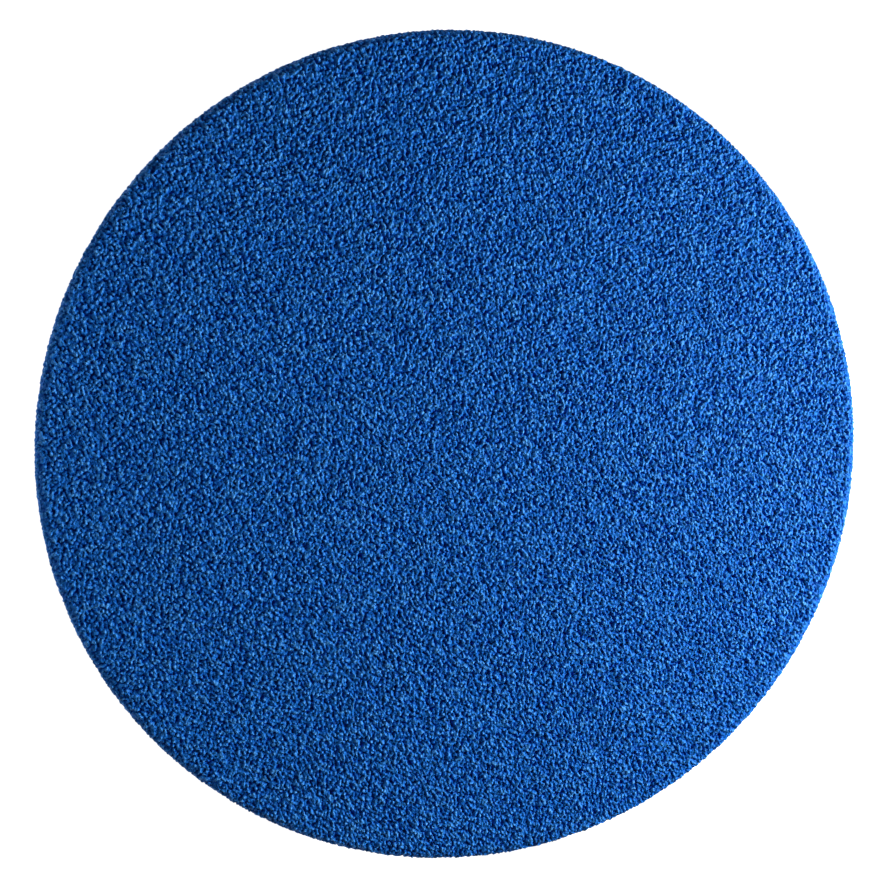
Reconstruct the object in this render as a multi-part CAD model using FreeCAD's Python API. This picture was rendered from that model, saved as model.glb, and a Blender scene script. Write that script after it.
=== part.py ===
import FreeCAD
import Part
import math
import os

# Round air stone: a bonded-mineral diffuser on a moulded pan, fed from below by a swivelling barbed
# elbow. Millimetres, +Z up. The origin is on the tank floor, under the disc's centre, where the
# suction cups rest.

V = FreeCAD.Vector
UP = V(0, 0, 1)
ALONG_X = V(1, 0, 0)

# ---- driving dimensions -------------------------------------------------------------------
STONE_R = 50.0            # outside radius of the mineral disc
STONE_SKIRT_H = 11.7      # height of its rough outer side
TOTAL_H = 32.0            # tank floor to the top face
STONE_EDGE_R = 1.4        # rounding of its top edge
STONE_FOOT_R = 0.8        # rounding of its bottom edge

PAN_R = 46.5              # outside radius of the moulded pan
PAN_WALL = 2.4            # wall and floor thickness
PAN_BOTTOM_Z = 12.0       # underside of the pan's floor
PAN_EDGE_R = 1.5
FLANGE_R = 48.2           # lip that carries the stone's skirt
FLANGE_H = 1.8
FLANGE_EDGE_R = 0.5
RIM_INTO_STONE = 3.0      # how far the pan's rim stands in the stone's groove

GLUE = 0.3                # adhesive film beside the rim and under the skirt
GLUE_CAP = 0.5            # adhesive over the rim
GLUE_SPREAD_R = 48.0      # how far the film under the skirt reaches
PILLAR_GLUE = 0.4         # adhesive pad on each pillar
PLENUM_ROOF = 0.7         # how far the stone's middle is hollowed above its skirt

CUP_COUNT = 4
CUP_CIRCLE_R = 35.0
CUP_R = 11.0              # lip radius of a suction cup
CUP_LIP_FLAT = 0.6        # flat ring that seals on the glass
CUP_LIP_T = 0.5           # height of the lip's outer edge
CUP_HOLLOW = 3.2          # depth of the suction hollow
CUP_SHOULDER_R = 4.5      # waist between the bell and the collar
CUP_SHOULDER_Z = 5.9
CUP_COLLAR_R = 5.2
CUP_COLLAR_Z = 6.9
CUP_BELL = (8.6, 3.0)     # radius and height of a point halfway up the bell
CUP_NECK_R = 3.1
CUP_HEAD_R = 3.9
CUP_HEAD_GAP = 0.2        # between the head and the socket's lip
CUP_HEAD_TOP_GAP = 0.5    # between the head and the socket's cap
SOCKET_R = 3.2            # entry of the blind socket
SOCKET_CHAMBER_R = 4.1
SOCKET_CHAMBER_H = 3.8
SOCKET_CAP = 1.6          # plastic over the socket, which keeps the air in
SOCKET_LIP = 0.2          # how far above the pan's underside the socket widens
CUP_BOSS_R = 6.0
CUP_BOSS_DROP = 2.0       # how far a cup boss stands below the pan

PILLAR_R = 3.0            # pillars between the cup bosses
CUP_PILLAR_R = 3.5        # pillars on top of the cup bosses
PILLAR_CIRCLE_R = 36.0

BOSS_DROP = 3.0           # how far the central boss stands below the pan
BOSS_OUTER_R = 8.0
BOSS_INNER_R = 6.8
BOSS_TOP_Z = 18.0
BOSS_LEAD_IN = 0.5        # flare at the foot of the bore
SPIGOT_R = 4.0
SPIGOT_CLEAR = 0.05       # running clearance of the swivel
SPIGOT_TOP_Z = 20.3
SPIGOT_EDGE_R = 0.4
AIR_R = 1.6               # air way in the spigot
O_RING_SECTION = 1.3
O_RING_GROOVE_W = 2.0
O_RING_ZS = {"o_ring_lower": 11.5, "o_ring_upper": 15.5}
WASHER_T = 0.6
WASHER_R = 6.2
CLIP_T = 0.8
CLIP_R = 5.6
CLIP_GROOVE_R = 3.3
CLIP_MOUTH = 6.8
CLIP_BAND_GAP = 0.3       # between the clip's band and the spigot
CLIP_PRONG_W = 1.8
CLIP_PRONGS = (180, 62, -62)
CLIP_CLEAR = 0.05         # above and below the clip in its groove
RUNNING_GAP = 0.1         # axial play of the swivel's washer

ARM_Z = 5.2               # height of the elbow's arm
ELBOW_R = 3.9
ARM_R = 3.1
ARM_END_X = 9.5
ELBOW_FLANGE_R = 6.5
ELBOW_FLANGE_H = 0.9
ELBOW_FLANGE_GAP = 0.2
BARB_TIP_X = 23.5
BARB_R = 2.5              # radius over the barbs
BARB_STEM_R = 2.1
BARB_TIP_R = 1.8
BARB_TIP_TAPER = 0.6
BARB_BORE_R = 1.3
BARB_LANDS_X = (12.5, 16.0, 19.5)
BARB_LAND_W = 0.6
BARB_RAMP = 1.9

RIB_COUNT = 8
RIB_T = 1.2
RIB_H = 1.2
RIB_RING_R = 22.0

OVERLAP = 0.5             # how far joined bodies of one moulding reach into each other
BEYOND = 1.0              # how far a cut passes the face it starts from

# ---- worked out from them -----------------------------------------------------------------
STONE_FOOT_Z = TOTAL_H - STONE_SKIRT_H
FLANGE_TOP_Z = STONE_FOOT_Z - GLUE
RIM_TOP_Z = FLANGE_TOP_Z + RIM_INTO_STONE
GROOVE_TOP_Z = RIM_TOP_Z + GLUE_CAP
GROOVE_OUT_R = PAN_R + GLUE
RIM_IN_R = PAN_R - PAN_WALL
GROOVE_IN_R = RIM_IN_R - GLUE
ROOF_Z = STONE_FOOT_Z + PLENUM_ROOF
PILLAR_TOP_Z = ROOF_Z - PILLAR_GLUE
PAN_FLOOR_Z = PAN_BOTTOM_Z + PAN_WALL
CUP_BOSS_Z = PAN_BOTTOM_Z - CUP_BOSS_DROP
CHAMBER_Z = PAN_BOTTOM_Z + SOCKET_LIP
CHAMBER_TOP_Z = CHAMBER_Z + SOCKET_CHAMBER_H
CUP_BOSS_TOP_Z = CHAMBER_TOP_Z + SOCKET_CAP
BOSS_BOTTOM_Z = PAN_BOTTOM_Z - BOSS_DROP
BOSS_BORE_R = SPIGOT_R + SPIGOT_CLEAR
ELBOW_FLANGE_TOP_Z = BOSS_BOTTOM_Z - ELBOW_FLANGE_GAP
WASHER_Z = BOSS_TOP_Z + RUNNING_GAP
CLIP_Z = WASHER_Z + WASHER_T + CLIP_CLEAR
O_RING_GROOVE_R = BOSS_BORE_R - SPIGOT_CLEAR - O_RING_SECTION


def at_angle(radius, degrees, z=0.0):
    """A point on a circle round the disc's axis."""
    turn = math.radians(degrees)
    return V(radius * math.cos(turn), radius * math.sin(turn), z)


def places(count, radius, first_degrees=0.0):
    """Points evenly spaced round the disc's axis."""
    return [at_angle(radius, first_degrees + k * 360.0 / count) for k in range(count)]


CUP_PLACES = places(CUP_COUNT, CUP_CIRCLE_R, 45.0)
PILLAR_PLACES = places(CUP_COUNT, PILLAR_CIRCLE_R)
CORNERS = ("back_right", "back_left", "front_left", "front_right")
SIDES = ("right", "back", "left", "front")


def post(radius, low, high, place=V(0, 0, 0)):
    """An upright cylinder from one height to another."""
    return Part.makeCylinder(radius, high - low, V(place.x, place.y, low), UP)


def tube(outer, inner, low, high, place=V(0, 0, 0)):
    return post(outer, low, high, place).cut(post(inner, low, high, place))


def turned(edges):
    """The solid that a closed outline in the XZ plane makes when it turns round Z."""
    return Part.Face(Part.Wire(Part.__sortEdges__(edges))).revolve(V(0, 0, 0), UP, 360)


def outline(points):
    """Straight edges through (radius, height) points, closed."""
    corners = [V(r, 0, z) for r, z in points]
    return [Part.LineSegment(a, b).toShape() for a, b in zip(corners, corners[1:] + corners[:1])]


def line(a, b):
    return Part.LineSegment(V(a[0], 0, a[1]), V(b[0], 0, b[1])).toShape()


def arc(a, through, b):
    return Part.Arc(*[V(r, 0, z) for r, z in (a, through, b)]).toShape()


def circle_edges(solid, radius, z):
    """The round edges of a solid at one radius and height."""
    return [
        e for e in solid.Edges
        if isinstance(e.Curve, Part.Circle)
        and abs(e.Curve.Radius - radius) < 1e-6
        and abs(e.Curve.Center.z - z) < 1e-6
    ]


# ---- the pieces ---------------------------------------------------------------------------
def diffuser_stone():
    """The mineral disc, with a groove for the pan's rim and a slightly hollowed middle."""
    disc = post(STONE_R, STONE_FOOT_Z, TOTAL_H)
    disc = disc.makeFillet(STONE_EDGE_R, circle_edges(disc, STONE_R, TOTAL_H))
    disc = disc.makeFillet(STONE_FOOT_R, circle_edges(disc, STONE_R, STONE_FOOT_Z))
    groove = tube(GROOVE_OUT_R, GROOVE_IN_R, STONE_FOOT_Z - BEYOND, GROOVE_TOP_Z)
    return disc.cut(groove).cut(post(GROOVE_IN_R, STONE_FOOT_Z - BEYOND, ROOF_Z))


def pan_shell():
    """Floor, wall, carrying flange and the rim that stands in the stone."""
    shell = post(PAN_R, PAN_BOTTOM_Z, RIM_TOP_Z)
    shell = shell.makeFillet(PAN_EDGE_R, circle_edges(shell, PAN_R, PAN_BOTTOM_Z))
    flange = tube(FLANGE_R, PAN_R - OVERLAP, FLANGE_TOP_Z - FLANGE_H, FLANGE_TOP_Z)
    flange = flange.makeFillet(FLANGE_EDGE_R, circle_edges(flange, FLANGE_R, FLANGE_TOP_Z - FLANGE_H))
    return shell.fuse(flange).cut(post(RIM_IN_R, PAN_FLOOR_Z, RIM_TOP_Z + BEYOND))


def ribs():
    """Stiffening ribs under the pan: spokes and one ring."""
    low, high = PAN_BOTTOM_Z - RIB_H, PAN_BOTTOM_Z + OVERLAP
    start = BOSS_OUTER_R - OVERLAP
    reach = PAN_R - 2 * PAN_EDGE_R - start
    found = [tube(RIB_RING_R + RIB_T / 2, RIB_RING_R - RIB_T / 2, low, high)]
    for k in range(RIB_COUNT):
        spoke = Part.makeBox(reach, RIB_T, high - low, V(start, -RIB_T / 2, low))
        spoke.rotate(V(0, 0, 0), UP, k * 360.0 / RIB_COUNT)
        found.append(spoke)
    return found


def base_pan():
    """The one-piece moulding under the stone."""
    solids = [
        post(BOSS_OUTER_R, BOSS_BOTTOM_Z, PAN_BOTTOM_Z + OVERLAP),
        post(BOSS_INNER_R, PAN_FLOOR_Z - OVERLAP, BOSS_TOP_Z),
        *ribs(),
    ]
    for place in CUP_PLACES:
        solids.append(post(CUP_BOSS_R, CUP_BOSS_Z, CUP_BOSS_TOP_Z, place))
        solids.append(post(CUP_PILLAR_R, CUP_BOSS_TOP_Z - OVERLAP, PILLAR_TOP_Z, place))
    solids += [post(PILLAR_R, PAN_FLOOR_Z - OVERLAP, PILLAR_TOP_Z, place) for place in PILLAR_PLACES]
    pan = pan_shell().fuse(solids)
    pan = pan.cut(post(BOSS_BORE_R, BOSS_BOTTOM_Z - BEYOND, BOSS_TOP_Z + BEYOND))
    flare = Part.makeCone(BOSS_BORE_R + BOSS_LEAD_IN, BOSS_BORE_R, BOSS_LEAD_IN, V(0, 0, BOSS_BOTTOM_Z), UP)
    pan = pan.cut(flare)
    for place in CUP_PLACES:
        pan = pan.cut(post(SOCKET_R, CUP_BOSS_Z - BEYOND, CHAMBER_Z + OVERLAP, place))
        pan = pan.cut(post(SOCKET_CHAMBER_R, CHAMBER_Z, CHAMBER_TOP_Z, place))
    return pan.removeSplitter()


def perimeter_bond():
    """The adhesive that fills the groove round the pan's rim and the film under the skirt."""
    return turned(outline([
        (GROOVE_IN_R, ROOF_Z), (RIM_IN_R, ROOF_Z), (RIM_IN_R, RIM_TOP_Z), (PAN_R, RIM_TOP_Z),
        (PAN_R, FLANGE_TOP_Z), (GLUE_SPREAD_R, FLANGE_TOP_Z), (GLUE_SPREAD_R, STONE_FOOT_Z),
        (GROOVE_OUT_R, STONE_FOOT_Z), (GROOVE_OUT_R, GROOVE_TOP_Z), (GROOVE_IN_R, GROOVE_TOP_Z),
    ]))


def pillar_bond(radius, place):
    """The adhesive pad between one pillar and the stone."""
    return post(radius, PILLAR_TOP_Z, ROOF_Z, place)


def barb():
    """The stem and its ridges for the air hose, turned round Z and then laid along X."""
    start = ARM_END_X - OVERLAP
    points = [(0, start), (BARB_STEM_R, start)]
    for x in BARB_LANDS_X:
        points += [(BARB_STEM_R, x), (BARB_R, x), (BARB_R, x + BARB_LAND_W),
                   (BARB_STEM_R, x + BARB_LAND_W + BARB_RAMP)]
    points += [(BARB_STEM_R, BARB_TIP_X - BARB_TIP_TAPER), (BARB_TIP_R, BARB_TIP_X), (0, BARB_TIP_X)]
    solid = turned(outline(points))
    solid.rotate(V(0, 0, 0), V(0, 1, 0), 90)
    solid.translate(V(0, 0, ARM_Z))
    return solid


def inlet_elbow():
    """The swivelling inlet: a sealed spigot up into the pan and a barbed arm to the side."""
    knee = post(ELBOW_R, ARM_Z, ELBOW_FLANGE_TOP_Z).fuse([
        post(ELBOW_FLANGE_R, ELBOW_FLANGE_TOP_Z - ELBOW_FLANGE_H, ELBOW_FLANGE_TOP_Z),
        Part.makeSphere(ELBOW_R, V(0, 0, ARM_Z)),
        Part.makeCylinder(ARM_R, ARM_END_X, V(0, 0, ARM_Z), ALONG_X),
        barb(),
    ])
    knee = knee.cut(post(ELBOW_R + BEYOND, ELBOW_FLANGE_TOP_Z, SPIGOT_TOP_Z))
    spigot = post(SPIGOT_R, ELBOW_FLANGE_TOP_Z - OVERLAP, SPIGOT_TOP_Z)
    elbow = knee.fuse(spigot.makeFillet(SPIGOT_EDGE_R, circle_edges(spigot, SPIGOT_R, SPIGOT_TOP_Z)))
    for z in O_RING_ZS.values():
        half = O_RING_GROOVE_W / 2
        elbow = elbow.cut(tube(SPIGOT_R + BEYOND, O_RING_GROOVE_R, z - half, z + half))
    clip_groove = tube(SPIGOT_R + BEYOND, CLIP_GROOVE_R, CLIP_Z - CLIP_CLEAR, CLIP_Z + CLIP_T + CLIP_CLEAR)
    elbow = elbow.cut(clip_groove)
    elbow = elbow.cut(post(AIR_R, ARM_Z, SPIGOT_TOP_Z + BEYOND))
    elbow = elbow.cut(Part.makeSphere(AIR_R, V(0, 0, ARM_Z)))
    elbow = elbow.cut(Part.makeCylinder(BARB_BORE_R, BARB_TIP_X + BEYOND, V(0, 0, ARM_Z), ALONG_X))
    return elbow.removeSplitter()


def o_ring(z):
    middle = O_RING_GROOVE_R + O_RING_SECTION / 2
    return Part.makeTorus(middle, O_RING_SECTION / 2, V(0, 0, z), UP)


def thrust_washer():
    return tube(WASHER_R, SPIGOT_R + SPIGOT_CLEAR, WASHER_Z, WASHER_Z + WASHER_T)


def retaining_clip():
    """An E-shaped spring clip that snaps into the spigot's top groove from one side."""
    band_r = SPIGOT_R + CLIP_BAND_GAP
    clip = tube(CLIP_R, band_r, CLIP_Z, CLIP_Z + CLIP_T)
    inner = CLIP_GROOVE_R + SPIGOT_CLEAR
    for degrees in CLIP_PRONGS:
        length = band_r + OVERLAP - inner
        prong = Part.makeBox(length, CLIP_PRONG_W, CLIP_T, V(inner, -CLIP_PRONG_W / 2, CLIP_Z))
        prong.rotate(V(0, 0, 0), UP, degrees)
        clip = clip.fuse(prong)
    clip = clip.cut(post(inner, CLIP_Z - BEYOND, CLIP_Z + CLIP_T + BEYOND))
    mouth_corner = V(0, -CLIP_MOUTH / 2, CLIP_Z - BEYOND)
    return clip.cut(Part.makeBox(CLIP_R + BEYOND, CLIP_MOUTH, CLIP_T + 2 * BEYOND, mouth_corner))


def suction_cup(place):
    """A soft cup with a thin lip, a stout collar under the boss and a head that snaps into the socket."""
    head_z = CHAMBER_Z + CUP_HEAD_GAP
    head_top_z = CHAMBER_TOP_Z - CUP_HEAD_TOP_GAP
    inner_r = CUP_R - CUP_LIP_FLAT
    shoulder = (CUP_SHOULDER_R, CUP_SHOULDER_Z)
    collar = (CUP_COLLAR_R, CUP_COLLAR_Z)
    cup = turned([
        line((0, CUP_HOLLOW), (0, head_top_z)),
        arc((0, CUP_HOLLOW), (inner_r * 0.55, CUP_HOLLOW * 0.71), (inner_r, 0)),
        line((inner_r, 0), (CUP_R, 0)),
        line((CUP_R, 0), (CUP_R, CUP_LIP_T)),
        arc((CUP_R, CUP_LIP_T), CUP_BELL, shoulder),
        arc(shoulder, (CUP_SHOULDER_R + 0.2, CUP_COLLAR_Z - 0.4), collar),
        line(collar, (CUP_COLLAR_R, CUP_BOSS_Z)),
        line((CUP_COLLAR_R, CUP_BOSS_Z), (CUP_NECK_R, CUP_BOSS_Z)),
        line((CUP_NECK_R, CUP_BOSS_Z), (CUP_NECK_R, head_z)),
        line((CUP_NECK_R, head_z), (CUP_HEAD_R, head_z)),
        arc((CUP_HEAD_R, head_z), (CUP_HEAD_R * 0.8, head_top_z - 0.9), (0, head_top_z)),
    ])
    cup.translate(place)
    return cup


def pieces():
    """Every node by name."""
    found = {
        "diffuser_stone": diffuser_stone(),
        "base_pan": base_pan(),
        "perimeter_bond": perimeter_bond(),
        "inlet_elbow": inlet_elbow(),
        "thrust_washer": thrust_washer(),
        "retaining_clip": retaining_clip(),
    }
    found.update({name: o_ring(z) for name, z in O_RING_ZS.items()})
    for corner, place in zip(CORNERS, CUP_PLACES):
        found["suction_cup_" + corner] = suction_cup(place)
        found["pillar_bond_" + corner] = pillar_bond(CUP_PILLAR_R, place)
    for side, place in zip(SIDES, PILLAR_PLACES):
        found["pillar_bond_" + side] = pillar_bond(PILLAR_R, place)
    return found


def main():
    os.makedirs("parts", exist_ok=True)
    for name, shape in pieces().items():
        solids = shape.Solids
        sound = all(s.isValid() and s.isClosed() and s.Volume > 0 for s in solids)
        print(f"{name}: {len(solids)} solid(s), {shape.Volume:.1f} mm3, {'sound' if sound else 'UNSOUND'}")
        whole = solids[0] if len(solids) == 1 else Part.makeCompound(solids)
        whole.exportStep(os.path.join("parts", name + ".step"))


main()
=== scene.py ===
import itertools
import math

import bpy
import numpy as np
from mathutils import Euler, Matrix, Vector

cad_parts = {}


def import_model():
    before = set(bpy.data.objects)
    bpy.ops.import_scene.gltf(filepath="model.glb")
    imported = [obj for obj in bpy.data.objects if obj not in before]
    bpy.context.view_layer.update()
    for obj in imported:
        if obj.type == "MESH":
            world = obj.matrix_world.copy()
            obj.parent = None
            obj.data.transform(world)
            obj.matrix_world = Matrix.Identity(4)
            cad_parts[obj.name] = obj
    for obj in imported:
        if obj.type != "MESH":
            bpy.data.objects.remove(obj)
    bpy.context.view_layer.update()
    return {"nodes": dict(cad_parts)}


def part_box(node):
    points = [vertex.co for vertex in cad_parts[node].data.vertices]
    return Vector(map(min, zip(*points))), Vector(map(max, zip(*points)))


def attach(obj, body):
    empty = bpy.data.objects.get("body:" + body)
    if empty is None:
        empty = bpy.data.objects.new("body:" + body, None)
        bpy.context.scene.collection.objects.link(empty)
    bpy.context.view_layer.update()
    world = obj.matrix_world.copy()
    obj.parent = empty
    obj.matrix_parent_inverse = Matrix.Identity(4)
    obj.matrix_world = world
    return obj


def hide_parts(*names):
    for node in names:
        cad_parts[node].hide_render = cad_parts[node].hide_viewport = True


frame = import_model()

# The looks of a round air stone. Metres, +Z up, in the CAD frame.
MM = 0.001
SEED = 20917

# ---- the stone's outline: its box is read from the frame -----------------------------------
STONE_LOW, STONE_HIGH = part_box("diffuser_stone")
STONE_R = STONE_HIGH.x
TOP_Z = STONE_HIGH.z
FOOT_Z = STONE_LOW.z
ROOF_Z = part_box("pillar_bond_back")[1].z
GROOVE_TOP_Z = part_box("perimeter_bond")[1].z
GROOVE_OUT_R = 46.8 * MM
GROOVE_IN_R = 43.8 * MM
EDGE_R = 1.4 * MM             # rounding of the top edge
FOOT_R = 0.8 * MM             # rounding of the bottom edge

# ---- its grit: a packing of balls in cells one pitch wide ----------------------------------
GRAIN = 0.385 * MM            # pitch of the grains
GRAIN_SMALL = 0.42            # radii of the grains, over their pitch
GRAIN_LARGE = 0.58
GRAIN_PROUD = 0.08            # how far the highest grains pass the stone's smooth skin, over their pitch
GRAIN_SINK = 0.62             # how far the lowest grains lie below it, over their pitch
SCATTER = 0.76                # how far a grain may stand from its place in an even packing
LAY = 1.10                    # how much longer the grains are along Y than across
PACKING_TURN = Euler((0.61, 0.35, 0.47))   # the packing's rows lie askew, so that none shows
WOBBLE = 0.055 * MM           # how far a grain's outline strays from a ball's
WOBBLE_SIZE = 0.30 * MM
BLEND = 0.030 * MM            # how far resin rounds the valley between two grains
PIT_DEPTH = 0.60 * MM         # deepest a pit may go
SIDE_RELIEF = 0.5             # how deep the grit of the side is, over that of the top
TOP_STEP = 0.105 * MM         # mesh spacing on the top face
SIDE_STEP = 0.16 * MM         # and down the side
CELL_SHIFT = 4096             # cells, added to a grain's cell so that none lies below zero
NO_GRAIN = -1.0               # the height of a grain that isn't there: far below the stone
LOWEST_GRAIN = -1.5 * PIT_DEPTH        # a grain whose top lies below this doesn't show
FURTHEST_OUT = -0.5 * GRAIN            # nor does one centred further than this outside the stone
POWER_RANGE = (-60, 30)       # keeps the blend's powers within what a number can hold
NOISE_SHIFT = 1000.0          # cells, added to the smooth noise's points so that none lies below zero

# ---- its colour ----------------------------------------------------------------------------
TINT_SPREAD = 0.05            # how much a grain's own tint and the speckles shift its colour
SPECKLE_SPREAD = 0.03
SPECKLES = 2600               # per metre
SPECULAR = 0.10
HEAP = 0.30 * MM              # pitch and height of the small heaps on the grains
HEAP_RELIEF = 0.22 * MM

# ---- the plastics --------------------------------------------------------------------------
MOTTLE = 8.0 * MM             # size of their faint mottle
GLOSS_SPREAD = 0.06           # how far their roughness strays

# ---- the camera ----------------------------------------------------------------------------
CAMERA_DISTANCE = 3.0 * STONE_R
CAMERA_TILT = math.radians(12.2)
CAMERA_BEARING = math.radians(151.0)   # the side of the disc that the camera leans to
CAMERA_NEAR = 5 * MM
DISC_SHARE = 0.9307                    # the disc's width over the frame's long side
DISC_OFFSET = (0.0075, -0.0011)        # right and up of the frame's middle, over its long side
SENSOR_MM = 36.0
AIM_ROUNDS = 8                         # how often the aim is corrected
RIM_POINTS = 360

# ---- the light -----------------------------------------------------------------------------
# Name, bearing in degrees, reach and rise in disc radii, watts, length and height in disc radii.
LIGHTS = (
    ("key", 0, 3.4, 0.70, 0.94, 4.0, 0.25),
    ("fill", 180, 1.9, 0.60, 0.008, 1.5, 0.50),
)
WORLD_LIGHT = 0.06            # light from above
HORIZON_LIGHT = 0.60          # and from the horizon
HORIZON_FADE = 0.40           # how high the horizon's light reaches, as the sine of its elevation
FLOOR_HALF = 3.0              # half the floor's side
FLAG_R = 1.3 * STONE_R        # the card that shades the stone's side from the key light
FLAG_TOP_Z = TOP_Z + 2.5 * MM
FLAG_SPAN = math.radians(198)
FLAG_STEPS = 48


# ---- small helpers -------------------------------------------------------------------------
def mix(a, b, t):
    return a + (b - a) * t


def smooth_step(t):
    t = np.clip(t, 0, 1)
    return t * t * (3 - 2 * t)


def scrambled(ix, iy, iz, salt):
    """An even random number in 0..1 for each whole-number cell, the same on every run."""
    h = (ix.astype(np.uint64) * np.uint64(0x9E3779B97F4A7C15)
         ^ iy.astype(np.uint64) * np.uint64(0xC2B2AE3D27D4EB4F)
         ^ iz.astype(np.uint64) * np.uint64(0x165667B19E3779F9)
         ^ np.uint64(SEED * 7919 + salt * 104729))
    h ^= h >> np.uint64(33)
    h *= np.uint64(0xFF51AFD7ED558CCD)
    h ^= h >> np.uint64(33)
    h *= np.uint64(0xC4CEB9FE1A85EC53)
    h ^= h >> np.uint64(33)
    return (h >> np.uint64(11)).astype(np.float64) / float(1 << 53)


def value_noise(points, scale, salt):
    """Smooth noise in -1..1 with features about as large as scale."""
    p = points / scale + NOISE_SHIFT
    cell = np.floor(p).astype(np.int64)
    t = smooth_step(p - cell)
    total = np.zeros(len(points))
    for corner in itertools.product((0, 1), repeat=3):
        weight = np.ones(len(points))
        for k, far in enumerate(corner):
            weight = weight * (t[:, k] if far else 1 - t[:, k])
        total += weight * scrambled(*(cell + corner).T, salt)
    return total * 2 - 1


# ---- the stone's mesh ----------------------------------------------------------------------
def disc_rings(radius, step):
    """Rings of points about one step apart, each ring with six points more, and their triangles."""
    rings = int(math.ceil(radius / step))
    points = [np.zeros((1, 2))]
    triangles = []
    inner = np.zeros(1, dtype=np.int64)
    at = 1
    for ring in range(1, rings + 1):
        count = 6 * ring
        turn = np.arange(count) * (2 * math.pi / count)
        points.append(np.column_stack([np.cos(turn), np.sin(turn)]) * radius * ring / rings)
        outer = at + np.arange(count)
        sector, step_in = np.divmod(np.arange(count), ring)
        first = inner[(sector * (ring - 1) + step_in) % len(inner)]
        triangles.append(np.column_stack([outer, np.roll(outer, -1), first]))
        paired = step_in < ring - 1
        second = inner[(sector * (ring - 1) + step_in + 1) % len(inner)]
        triangles.append(np.column_stack([first, np.roll(outer, -1), second])[paired])
        inner = outer
        at += count
    return np.concatenate(points), np.concatenate(triangles), outer


def side_steps(length):
    """How many mesh rows a length of the side takes."""
    return int(math.ceil(length / SIDE_STEP))


def bend(centre_r, centre_z, radius, first, last):
    """Rows round a corner of the profile, after the first angle and up to the last."""
    steps = side_steps(radius * math.pi / 2)
    angles = [mix(first, last, k / steps) for k in range(1, steps + 1)]
    return [(centre_r + radius * math.cos(a), centre_z + radius * math.sin(a), math.cos(a), math.sin(a))
            for a in angles]


def side_profile():
    """(radius, height, outward radius, outward height) of rows down the stone's outer side."""
    high, low = TOP_Z - EDGE_R, FOOT_Z + FOOT_R
    foot_r = STONE_R - FOOT_R
    wall = side_steps(high - low)
    under = side_steps(foot_r - GROOVE_OUT_R)
    rows = bend(STONE_R - EDGE_R, high, EDGE_R, math.pi / 2, 0)
    rows += [(STONE_R, mix(high, low, k / wall), 1.0, 0.0) for k in range(1, wall + 1)]
    rows += bend(foot_r, low, FOOT_R, 0, -math.pi / 2)
    rows += [(mix(foot_r, GROOVE_OUT_R, k / under), FOOT_Z, 0.0, -1.0) for k in range(1, under + 1)]
    return rows


def hidden_profile():
    """The same for the groove round the pan's rim and the roof inside it, which nothing shows."""
    corners = [
        (GROOVE_OUT_R, mix(FOOT_Z, GROOVE_TOP_Z, 0.5)), (GROOVE_OUT_R, GROOVE_TOP_Z),
        (mix(GROOVE_OUT_R, GROOVE_IN_R, 0.5), GROOVE_TOP_Z), (GROOVE_IN_R, GROOVE_TOP_Z),
        (GROOVE_IN_R, ROOF_Z), (GROOVE_IN_R * 0.66, ROOF_Z), (GROOVE_IN_R * 0.33, ROOF_Z),
    ]
    return [(radius, z, 0.0, -1.0) for radius, z in corners]


def smooth_stone():
    """The stone's smooth skin: points, outward directions, which points are grainy, and its faces."""
    top, triangles, rim = disc_rings(STONE_R - EDGE_R, TOP_STEP)
    turn = np.arctan2(top[rim, 1], top[rim, 0])
    count = len(rim)
    points = [np.column_stack([top, np.full(len(top), TOP_Z)])]
    normals = [np.tile([0.0, 0.0, 1.0], (len(top), 1))]
    quads = []
    before = rim
    at = len(top)
    side = side_profile()
    for radius, z, out_r, out_z in side + hidden_profile():
        points.append(np.column_stack([radius * np.cos(turn), radius * np.sin(turn), np.full(count, z)]))
        normals.append(np.column_stack([out_r * np.cos(turn), out_r * np.sin(turn), np.full(count, out_z)]))
        row = at + np.arange(count)
        quads.append(np.column_stack([before, row, np.roll(row, -1), np.roll(before, -1)]))
        before = row
        at += count
    points.append(np.array([[0.0, 0.0, ROOF_Z]]))
    normals.append(np.array([[0.0, 0.0, -1.0]]))
    fan = np.column_stack([before, np.full(count, at), np.roll(before, -1)])
    grainy = np.arange(at + 1) < len(top) + count * (len(side) - 1)
    triangles = np.concatenate([triangles, fan])
    return np.concatenate(points), np.concatenate(normals), grainy, np.concatenate(quads), triangles


def depth_inside(points):
    """How far each point lies inside the stone's smooth skin (below 0 outside it)."""
    rho = np.hypot(points[:, 0], points[:, 1])
    from_top = TOP_Z - points[:, 2]
    from_side = STONE_R - rho
    corner = (from_top < EDGE_R) & (from_side < EDGE_R)
    rounded = EDGE_R - np.hypot(EDGE_R - from_top, EDGE_R - from_side)
    from_foot = points[:, 2] - FOOT_Z
    foot = (from_foot < FOOT_R) & (from_side < FOOT_R)
    rounded_foot = FOOT_R - np.hypot(FOOT_R - from_foot, FOOT_R - from_side)
    depth = np.minimum(np.minimum(from_top, from_side), from_foot)
    return np.where(corner, rounded, np.where(foot, rounded_foot, depth))


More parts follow.
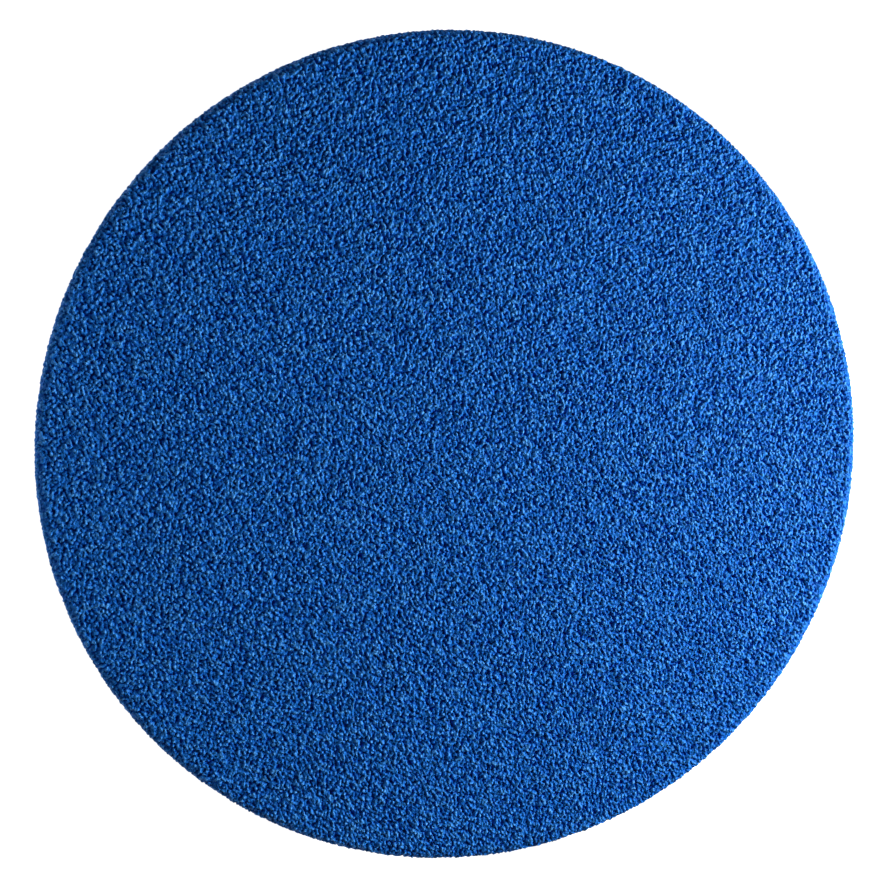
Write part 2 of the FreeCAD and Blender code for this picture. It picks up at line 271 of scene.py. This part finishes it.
def grit(points, normals):
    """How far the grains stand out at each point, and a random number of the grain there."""
    wobble = np.column_stack([value_noise(points, WOBBLE_SIZE, salt) for salt in (11, 12, 13)]) * WOBBLE
    lay = np.array([1.0, LAY, 1.0])
    turn = np.array(PACKING_TURN.to_matrix())
    upright = np.clip(normals[:, 2], 0, 1)
    points = (points + wobble) / lay @ turn
    normals = normals @ turn
    home = np.floor((points - normals * GRAIN / 2) / GRAIN).astype(np.int64)
    best = np.full(len(points), NO_GRAIN)
    total = np.zeros(len(points))
    tint = np.zeros(len(points))
    for step in itertools.product((-1, 0, 1), repeat=3):
        cell = home + step
        key = (cell + CELL_SHIFT).T
        jitter = np.column_stack([scrambled(*key, salt) for salt in (1, 2, 3)])
        centre = (cell + 0.5 + SCATTER * (jitter - 0.5)) * GRAIN
        radius = GRAIN * mix(GRAIN_SMALL, GRAIN_LARGE, scrambled(*key, 4))
        least_depth = radius + GRAIN * mix(-GRAIN_PROUD, GRAIN_SINK, scrambled(*key, 5))
        depth = depth_inside(centre @ turn.T * lay)
        away = centre - points
        outward = np.einsum("ij,ij->i", away, normals)
        across = np.maximum(np.einsum("ij,ij->i", away, away) - outward ** 2, 0)
        inside = radius ** 2 - across
        pushed_in = np.maximum(least_depth - depth, 0)
        height = np.where(inside > 0, outward - pushed_in + np.sqrt(np.maximum(inside, 0)), NO_GRAIN)
        near = (height > LOWEST_GRAIN) & (depth > FURTHEST_OUT)
        height = np.where(near, height, NO_GRAIN)
        total += np.where(near, np.exp(np.clip(height / BLEND, *POWER_RANGE)), 0)
        tint = np.where(height > best, scrambled(*key, 6), tint)
        best = np.maximum(best, height)
    out = np.log(total + math.exp(-PIT_DEPTH / BLEND)) * BLEND
    return out * mix(SIDE_RELIEF, 1.0, smooth_step(upright)), tint


def mesh_object(name, points, quads, triangles):
    """A mesh made straight from arrays."""
    mesh = bpy.data.meshes.new(name)
    mesh.vertices.add(len(points))
    mesh.vertices.foreach_set("co", points.astype(np.float32).ravel())
    loops = np.concatenate([quads.ravel(), triangles.ravel()])
    sizes = np.concatenate([np.full(len(quads), 4), np.full(len(triangles), 3)])
    starts = np.concatenate([[0], np.cumsum(sizes)[:-1]])
    mesh.loops.add(len(loops))
    mesh.loops.foreach_set("vertex_index", loops.astype(np.int32))
    mesh.polygons.add(len(sizes))
    mesh.polygons.foreach_set("loop_start", starts.astype(np.int32))
    mesh.update(calc_edges=True)
    mesh.validate()
    mesh.shade_smooth()
    thing = bpy.data.objects.new(name, mesh)
    bpy.context.scene.collection.objects.link(thing)
    return thing


def stone_piece():
    """The grainy stone, with its relief and each grain's tint kept as attributes for the material, which
    uses the relief to paint shade into the pits and light onto the crowns.
    """
    points, normals, grainy, quads, triangles = smooth_stone()
    relief = np.zeros(len(points))
    tint = np.zeros(len(points))
    relief[grainy], tint[grainy] = grit(points[grainy], normals[grainy])
    stone = mesh_object("mineral_stone", points + normals * relief[:, None], quads, triangles)
    # the relief, from 0 in the deepest pits to 1 on the crowns, drives the material's painted shade and
    # painted light
    for name, values in (("relief", np.clip(1 + relief / PIT_DEPTH, 0, 1)), ("tint", tint)):
        layer = stone.data.attributes.new(name, "FLOAT", "POINT")
        layer.data.foreach_set("value", values.astype(np.float32))
    stone.data.materials.append(painted_shade_mineral_material())
    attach(stone, "disc")
    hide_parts("diffuser_stone")


# ---- materials -----------------------------------------------------------------------------
class Material:
    """A node material with short ways to add and join nodes."""

    def __init__(self, name):
        self.data = bpy.data.materials.new(name)
        self.data.use_nodes = True
        self.tree = self.data.node_tree
        self.shader = self.tree.nodes["Principled BSDF"]

    def node(self, kind, **values):
        made = self.tree.nodes.new(kind)
        for key, value in values.items():
            setattr(made, key, value)
        return made

    def link(self, out, into):
        self.tree.links.new(out, into)

    def set(self, **values):
        """Values of the shader's own sockets, whose spaces are written as underscores."""
        for key, value in values.items():
            self.shader.inputs[key.replace("_", " ")].default_value = value

    def coordinates(self):
        return self.node("ShaderNodeTexCoord").outputs["Object"]

    def noise(self, scale, detail=2.0, roughness=0.5):
        made = self.node("ShaderNodeTexNoise")
        made.inputs["Scale"].default_value = scale
        made.inputs["Detail"].default_value = detail
        made.inputs["Roughness"].default_value = roughness
        self.link(self.coordinates(), made.inputs["Vector"])
        return made.outputs["Fac"]

    def heaps(self, size, lay):
        """Rounded heaps about as large as size, longer along Y."""
        mapping = self.node("ShaderNodeMapping")
        mapping.inputs["Scale"].default_value = (1 / size, 1 / size / lay, 1 / size)
        self.link(self.coordinates(), mapping.inputs["Vector"])
        made = self.node("ShaderNodeTexVoronoi", feature="SMOOTH_F1")
        made.inputs["Scale"].default_value = 1.0
        made.inputs["Smoothness"].default_value = 0.3
        self.link(mapping.outputs["Vector"], made.inputs["Vector"])
        return self.math("SUBTRACT", 1.0, made.outputs["Distance"])

    def ramp(self, value, *stops):
        """A colour for each value, from (place, colour) stops."""
        made = self.node("ShaderNodeValToRGB")
        elements = made.color_ramp.elements
        while len(elements) < len(stops):
            elements.new(0.5)
        for element, (place, colour) in zip(elements, stops):
            element.position = place
            element.color = (*colour, 1.0)
        self.link(value, made.inputs["Fac"])
        return made.outputs["Color"]

    def math(self, operation, a, b):
        made = self.node("ShaderNodeMath", operation=operation)
        for socket, value in zip(made.inputs, (a, b)):
            if isinstance(value, (int, float)):
                socket.default_value = value
            else:
                self.link(value, socket)
        return made.outputs[0]

    def bump(self, height, strength, distance):
        made = self.node("ShaderNodeBump")
        made.inputs["Strength"].default_value = strength
        made.inputs["Distance"].default_value = distance
        self.link(height, made.inputs["Height"])
        self.link(made.outputs["Normal"], self.shader.inputs["Normal"])


def grey(v):
    return (v, v, v)


def painted_shade_mineral_material():
    """Blue bonded grit, coloured by height: painted shade makes the pores deep blue, painted light makes
    the grains' crowns clearer blue.
    """
    m = Material("bonded_mineral")
    relief = m.node("ShaderNodeAttribute", attribute_name="relief").outputs["Fac"]
    tint = m.node("ShaderNodeAttribute", attribute_name="tint").outputs["Fac"]
    speckle = m.noise(SPECKLES, 3, 0.6)
    height = m.math("ADD", relief, m.math("MULTIPLY", m.math("SUBTRACT", tint, 0.5), TINT_SPREAD))
    height = m.math("ADD", height, m.math("MULTIPLY", m.math("SUBTRACT", speckle, 0.5), SPECKLE_SPREAD))
    # painted shade and painted light: the lower a point lies, the darker and deeper its blue; the crowns
    # are painted paler, as if lit
    colour = m.ramp(
        height,
        (0.00, (0.000, 0.062, 0.46)),
        (0.45, (0.001, 0.102, 0.54)),
        (0.80, (0.012, 0.190, 0.69)),
        (1.00, (0.070, 0.335, 0.84)),
    )
    m.link(colour, m.shader.inputs["Base Color"])
    m.link(m.ramp(speckle, (0.3, grey(0.42)), (0.7, grey(0.54))), m.shader.inputs["Roughness"])
    m.set(**{"Specular IOR Level": SPECULAR})
    m.bump(m.heaps(HEAP, LAY), 1.0, HEAP_RELIEF)
    return m.data


def moulded(name, dark, pale, roughness, grain, relief):
    """Moulded plastic or rubber: a faint mottle, uneven gloss and the fine grain of the mould."""
    m = Material(name)
    texture = m.noise(1 / grain, 3, 0.6)
    mottle = m.ramp(m.noise(1 / MOTTLE, 3, 0.6), (0.35, dark), (0.65, pale))
    gloss = m.ramp(texture, (0.3, grey(roughness - GLOSS_SPREAD)), (0.7, grey(roughness + GLOSS_SPREAD)))
    m.link(mottle, m.shader.inputs["Base Color"])
    m.link(gloss, m.shader.inputs["Roughness"])
    m.bump(texture, 0.5, relief)
    return m.data


def pan_material():
    """Black plastic with a spark-eroded grain."""
    dark, pale = grey(0.010), grey(0.017)
    return moulded("pan_plastic", dark, pale, roughness=0.46, grain=0.35 * MM, relief=0.030 * MM)


def elbow_material():
    """Dark grey plastic, smoother than the pan."""
    dark, pale = (0.030, 0.031, 0.033), (0.042, 0.043, 0.046)
    return moulded("elbow_plastic", dark, pale, roughness=0.34, grain=0.6 * MM, relief=0.012 * MM)


def rubber_material():
    """Dull black rubber."""
    dark, pale = grey(0.008), grey(0.014)
    return moulded("seal_rubber", dark, pale, roughness=0.68, grain=0.12 * MM, relief=0.010 * MM)


def washer_material():
    """Natural white acetal."""
    dark, pale = (0.66, 0.65, 0.61), (0.76, 0.75, 0.71)
    return moulded("washer_plastic", dark, pale, roughness=0.38, grain=0.3 * MM, relief=0.008 * MM)


def adhesive_material():
    """Dark grey epoxy, glossy, with a cloud of fine bubbles."""
    m = Material("adhesive")
    bubbles = m.noise(1 / (0.25 * MM), 2, 0.5)
    cloud = m.ramp(bubbles, (0.42, (0.090, 0.098, 0.115)), (0.62, (0.14, 0.15, 0.17)))
    m.link(cloud, m.shader.inputs["Base Color"])
    m.link(m.ramp(bubbles, (0.4, grey(0.16)), (0.7, grey(0.30))), m.shader.inputs["Roughness"])
    m.bump(m.noise(1 / (1.5 * MM), 2, 0.5), 0.5, 0.05 * MM)
    return m.data


def vinyl_material():
    """Clear soft vinyl with a faint green-blue body and a slightly wavy skin."""
    m = Material("cup_vinyl")
    waves = m.noise(1 / (3.0 * MM), 2, 0.5)
    smear = m.noise(1 / (0.5 * MM), 3, 0.6)
    colour = m.ramp(waves, (0.3, (0.80, 0.88, 0.88)), (0.7, (0.87, 0.93, 0.93)))
    m.link(colour, m.shader.inputs["Base Color"])
    m.link(m.ramp(smear, (0.3, grey(0.10)), (0.7, grey(0.20))), m.shader.inputs["Roughness"])
    m.set(Transmission_Weight=0.85, IOR=1.5)
    m.bump(waves, 0.4, 0.05 * MM)
    return m.data


def steel_material():
    """Stamped stainless spring steel, finely speckled by tumbling."""
    m = Material("spring_steel")
    tumbled = m.noise(1 / (0.2 * MM), 4, 0.7)
    colour = m.ramp(tumbled, (0.3, (0.50, 0.50, 0.49)), (0.7, (0.62, 0.61, 0.60)))
    m.link(colour, m.shader.inputs["Base Color"])
    m.link(m.ramp(tumbled, (0.3, grey(0.22)), (0.7, grey(0.36))), m.shader.inputs["Roughness"])
    m.set(Metallic=1.0)
    m.bump(tumbled, 0.3, 0.01 * MM)
    return m.data


# What the names of the CAD nodes start with, and what they are made of.
MATERIALS = (
    ("base_pan", pan_material),
    ("inlet_elbow", elbow_material),
    ("o_ring", rubber_material),
    ("thrust_washer", washer_material),
    ("retaining_clip", steel_material),
    ("suction_cup", vinyl_material),
    ("perimeter_bond", adhesive_material),
    ("pillar_bond", adhesive_material),
)


def dress():
    """Gives each shown CAD node the material of its kind. Nodes of one kind share it."""
    made = {}
    for name, thing in frame["nodes"].items():
        for start, make in MATERIALS:
            if name.startswith(start):
                made[make] = made.get(make) or make()
                thing.data.materials.clear()
                thing.data.materials.append(made[make])


# ---- stage ---------------------------------------------------------------------------------
def stage_object(name, points, faces, **values):
    """A plain thing of the studio, which isn't part of the object."""
    mesh = bpy.data.meshes.new(name)
    mesh.from_pydata(points, [], faces)
    m = Material(name)
    m.set(**values)
    mesh.materials.append(m.data)
    thing = bpy.data.objects.new(name, mesh)
    bpy.context.scene.collection.objects.link(thing)
    return thing


def floor():
    """A pale floor that glows, so that it is white in the picture."""
    h = FLOOR_HALF
    points = [(-h, -h, 0), (h, -h, 0), (h, h, 0), (-h, h, 0)]
    stage_object("floor", points, [(0, 1, 2, 3)], Base_Color=(0.5, 0.5, 0.5, 1), Roughness=0.9,
                 Emission_Color=(1, 1, 1, 1), Emission_Strength=1.0)


def flag():
    """A low white card round the lit side, out of the camera's sight, that keeps the key light off it."""
    turns = [FLAG_SPAN * (k / FLAG_STEPS - 0.5) for k in range(FLAG_STEPS + 1)]
    points = [(FLAG_R * math.cos(t), FLAG_R * math.sin(t), z) for z in (0, FLAG_TOP_Z) for t in turns]
    above = len(turns)
    faces = [(k, k + 1, k + 1 + above, k + above) for k in range(FLAG_STEPS)]
    card = stage_object("flag", points, faces, Base_Color=(0.8, 0.8, 0.8, 1), Roughness=0.9)
    card.visible_camera = False


def world():
    """Soft white light from all round, brighter towards the horizon as in a white studio."""
    made = bpy.data.worlds.new("studio")
    made.use_nodes = True
    tree = made.node_tree
    coordinates = tree.nodes.new("ShaderNodeTexCoord")
    split = tree.nodes.new("ShaderNodeSeparateXYZ")
    ramp = tree.nodes.new("ShaderNodeValToRGB")
    ramp.color_ramp.interpolation = "EASE"
    low, high = ramp.color_ramp.elements
    low.position, low.color = 0.0, (*grey(HORIZON_LIGHT), 1)
    high.position, high.color = HORIZON_FADE, (*grey(WORLD_LIGHT), 1)
    tree.links.new(coordinates.outputs["Generated"], split.inputs["Vector"])
    tree.links.new(split.outputs["Z"], ramp.inputs["Fac"])
    tree.links.new(ramp.outputs["Color"], tree.nodes["Background"].inputs["Color"])
    bpy.context.scene.world = made


def strip_light(name, bearing, reach, rise, power, length, height):
    """A soft strip beside the disc, square to the direction it shines in. Distances are in disc radii."""
    turn = math.radians(bearing)
    data = bpy.data.lights.new(name, "AREA")
    data.shape = "RECTANGLE"
    data.size = length * STONE_R
    data.size_y = height * STONE_R
    data.energy = power
    target = Vector((0, 0, TOP_Z))
    place = target + Vector((math.cos(turn) * reach, math.sin(turn) * reach, rise)) * STONE_R
    lamp = bpy.data.objects.new(name, data)
    lamp.location = place
    lamp.rotation_euler = (target - place).to_track_quat("-Z", "Z").to_euler()
    lamp.visible_camera = False
    bpy.context.scene.collection.objects.link(lamp)


def rim_in_view(place, axes):
    """(middle, mean radius) of the stone's top rim as the camera sees it, at a focal length of 1."""
    turn = np.arange(RIM_POINTS) * (2 * math.pi / RIM_POINTS)
    rim_z = np.full(RIM_POINTS, TOP_Z - EDGE_R)
    rim = np.column_stack([STONE_R * np.cos(turn), STONE_R * np.sin(turn), rim_z])
    seen = (rim - np.array(place)) @ np.array(axes)
    flat = seen[:, :2] / -seen[:, 2:]
    middle = (flat.min(0) + flat.max(0)) / 2
    return middle, np.hypot(*(flat - middle).T).mean()


def camera():
    """Nearly straight above, leaning to one side, with the disc where the frame has it."""
    data = bpy.data.cameras.new("camera")
    thing = bpy.data.objects.new("camera", data)
    bpy.context.scene.collection.objects.link(thing)
    lean = Vector((math.cos(CAMERA_BEARING), math.sin(CAMERA_BEARING), 0)) * math.sin(CAMERA_TILT)
    towards = lean + Vector((0, 0, math.cos(CAMERA_TILT)))
    target = Vector((0, 0, TOP_Z))
    place = target + towards * CAMERA_DISTANCE
    for _ in range(AIM_ROUNDS):
        back = (place - target).normalized()
        right = Vector((0, 1, 0)).cross(back).normalized()
        up = back.cross(right)
        axes = Matrix((right, up, back)).transposed()
        middle, radius = rim_in_view(place, axes)
        focal = DISC_SHARE / 2 / radius
        miss = middle - np.array(DISC_OFFSET) / focal
        target += (right * miss[0] + up * miss[1]) * CAMERA_DISTANCE
    thing.location = place
    thing.rotation_euler = axes.to_euler()
    data.sensor_width = SENSOR_MM
    data.lens = SENSOR_MM * focal
    data.clip_start = CAMERA_NEAR
    bpy.context.scene.camera = thing


# ---- the whole scene -----------------------------------------------------------------------
def build():
    stone_piece()
    dress()
    floor()
    flag()
    world()
    for light in LIGHTS:
        strip_light(*light)
    camera()
    bpy.context.scene.view_settings.view_transform = "Standard"


build()
